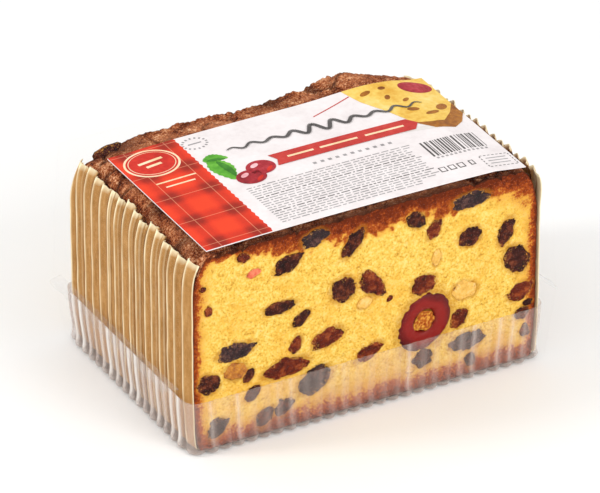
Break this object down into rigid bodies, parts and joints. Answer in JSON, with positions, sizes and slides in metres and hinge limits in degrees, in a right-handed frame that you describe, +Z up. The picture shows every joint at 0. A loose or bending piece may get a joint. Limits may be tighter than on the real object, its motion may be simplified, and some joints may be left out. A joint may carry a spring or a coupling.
{
  "type": "sliced fruit cake loaf in a clear pack",
  "caption": "Sliced fruit cake loaf with raisins and candied cherry, in pleated baking paper and a ribbed clear tray, wrapped in clear film with a plain label on top.",
  "frame": {"origin": "on the table under the middle of the pack", "axes": "+X to the right along the pack's width when its cut face is looked at, +Y from the front cut face to the back along the row of slices, +Z up through the label"},
  "size_m": [0.1556, 0.0938, 0.0791],
  "materials": {
    "crumb": "soft, open yellow crumb with a browned crust",
    "paper": "matte unbleached baking paper",
    "raisin": "moist, wrinkled",
    "peel": "moist, translucent",
    "cherry": "glossy, candied",
    "tray": "clear, ribbed thin plastic",
    "film": "clear, glossy wrapping film",
    "label": "coated paper with plain fields of colour"
  },
  "bodies": {
    "root": {"slice_01": "crumb", "slice_02": "crumb", "slice_03": "crumb", "slice_04": "crumb", "slice_05": "crumb", "slice_06": "crumb", "slice_07": "crumb", "slice_08": "crumb", "slice_09": "crumb", "slice_10": "crumb", "slice_11": "crumb", "slice_12": "crumb", "slice_13": "crumb", "slice_14": "crumb", "slice_15": "crumb", "slice_16": "crumb", "paper_01": "paper", "paper_02": "paper", "paper_03": "paper", "paper_04": "paper", "paper_05": "paper", "paper_06": "paper", "paper_07": "paper", "paper_08": "paper", "paper_09": "paper", "paper_10": "paper", "paper_11": "paper", "paper_12": "paper", "paper_13": "paper", "paper_14": "paper", "paper_15": "paper", "paper_16": "paper", "raisin_01": "raisin", "raisin_02": "raisin", "raisin_03": "raisin", "raisin_04": "raisin", "raisin_05": "raisin", "raisin_06": "raisin", "raisin_07": "raisin", "raisin_08": "raisin", "raisin_09": "raisin", "raisin_10": "raisin", "raisin_11": "raisin", "raisin_12": "raisin", "raisin_13": "raisin", "raisin_14": "raisin", "raisin_15": "raisin", "raisin_16": "raisin", "raisin_17": "raisin", "raisin_18": "raisin", "raisin_19": "raisin", "raisin_20": "raisin", "candied_peel": "peel", "cherry": "cherry", "cherry_crumb": "crumb", "tray": "tray", "film": "film", "label": "label"}
  },
  "joints": []
}
